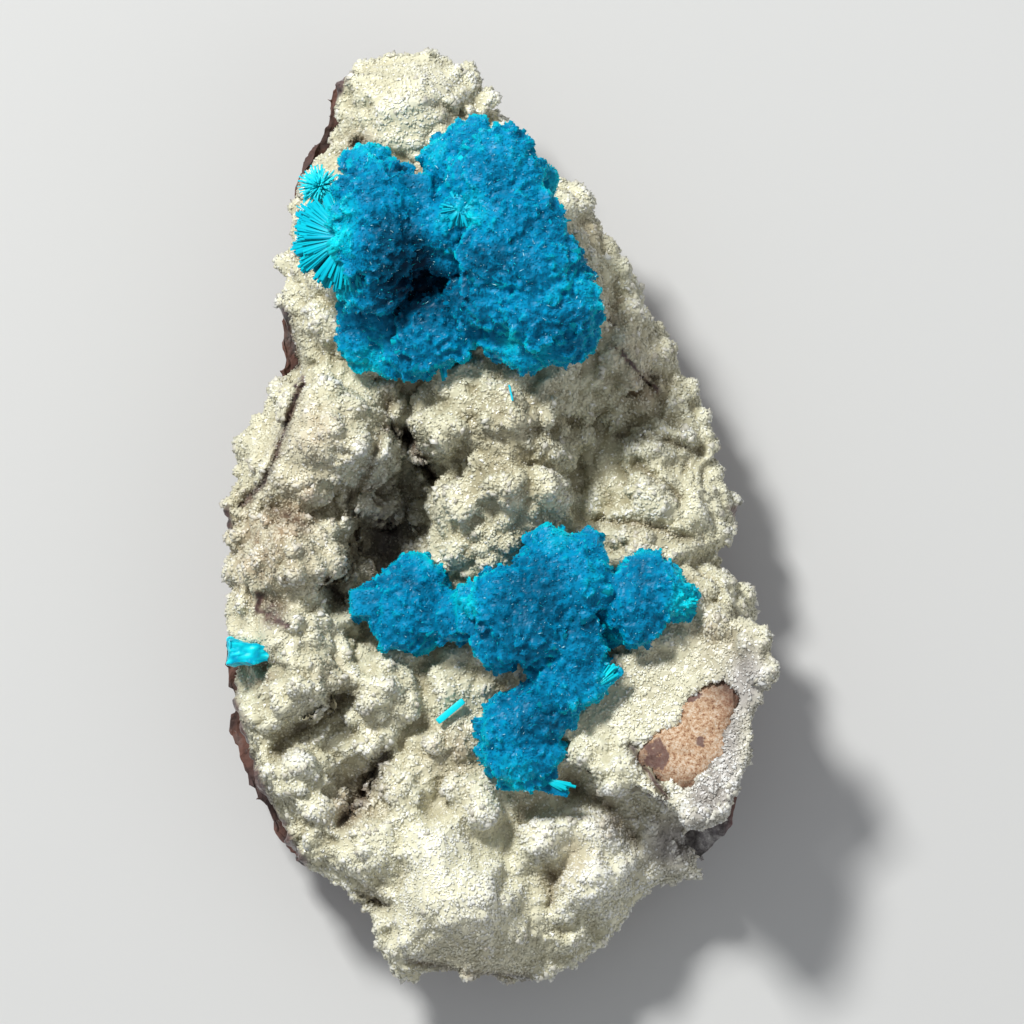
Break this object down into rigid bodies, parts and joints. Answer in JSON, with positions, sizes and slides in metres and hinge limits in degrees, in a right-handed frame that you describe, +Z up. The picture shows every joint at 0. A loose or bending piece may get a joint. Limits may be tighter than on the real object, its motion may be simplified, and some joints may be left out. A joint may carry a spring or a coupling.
{
  "type": "cavansite mineral specimen on zeolite matrix",
  "caption": "Loose mineral specimen: blue cavansite rosettes on a druse of small pale zeolite crystals over weathered basalt, lying on its flat broken back.",
  "frame": {"origin": "in the flat rest face on the broken back, under the middle of the specimen", "axes": "+Z up out of the crystal side, +Y along the specimen's length towards its narrow end, +X across it to the right"},
  "size_m": [0.0552, 0.0927, 0.0407],
  "materials": {
    "basalt": "matt, reddish brown to grey weathered basalt with small vesicles",
    "zeolite": "sparkling druse of small cream to pale yellow-green crystals",
    "cavansite": "deep blue velvety rosettes of bladed crystals with small sparkles",
    "cavansite_pale": "pale turquoise glassy blades"
  },
  "bodies": {
    "root": {"basalt_host_rock": "basalt", "zeolite_crust": "zeolite", "cavansite_cluster_upper": "cavansite", "cavansite_cluster_lower": "cavansite", "cavansite_spray_small": "cavansite_pale", "cavansite_wedge_left": "cavansite_pale", "cavansite_loose_prism": "cavansite_pale", "cavansite_tiny_needle": "cavansite_pale"}
  },
  "joints": []
}
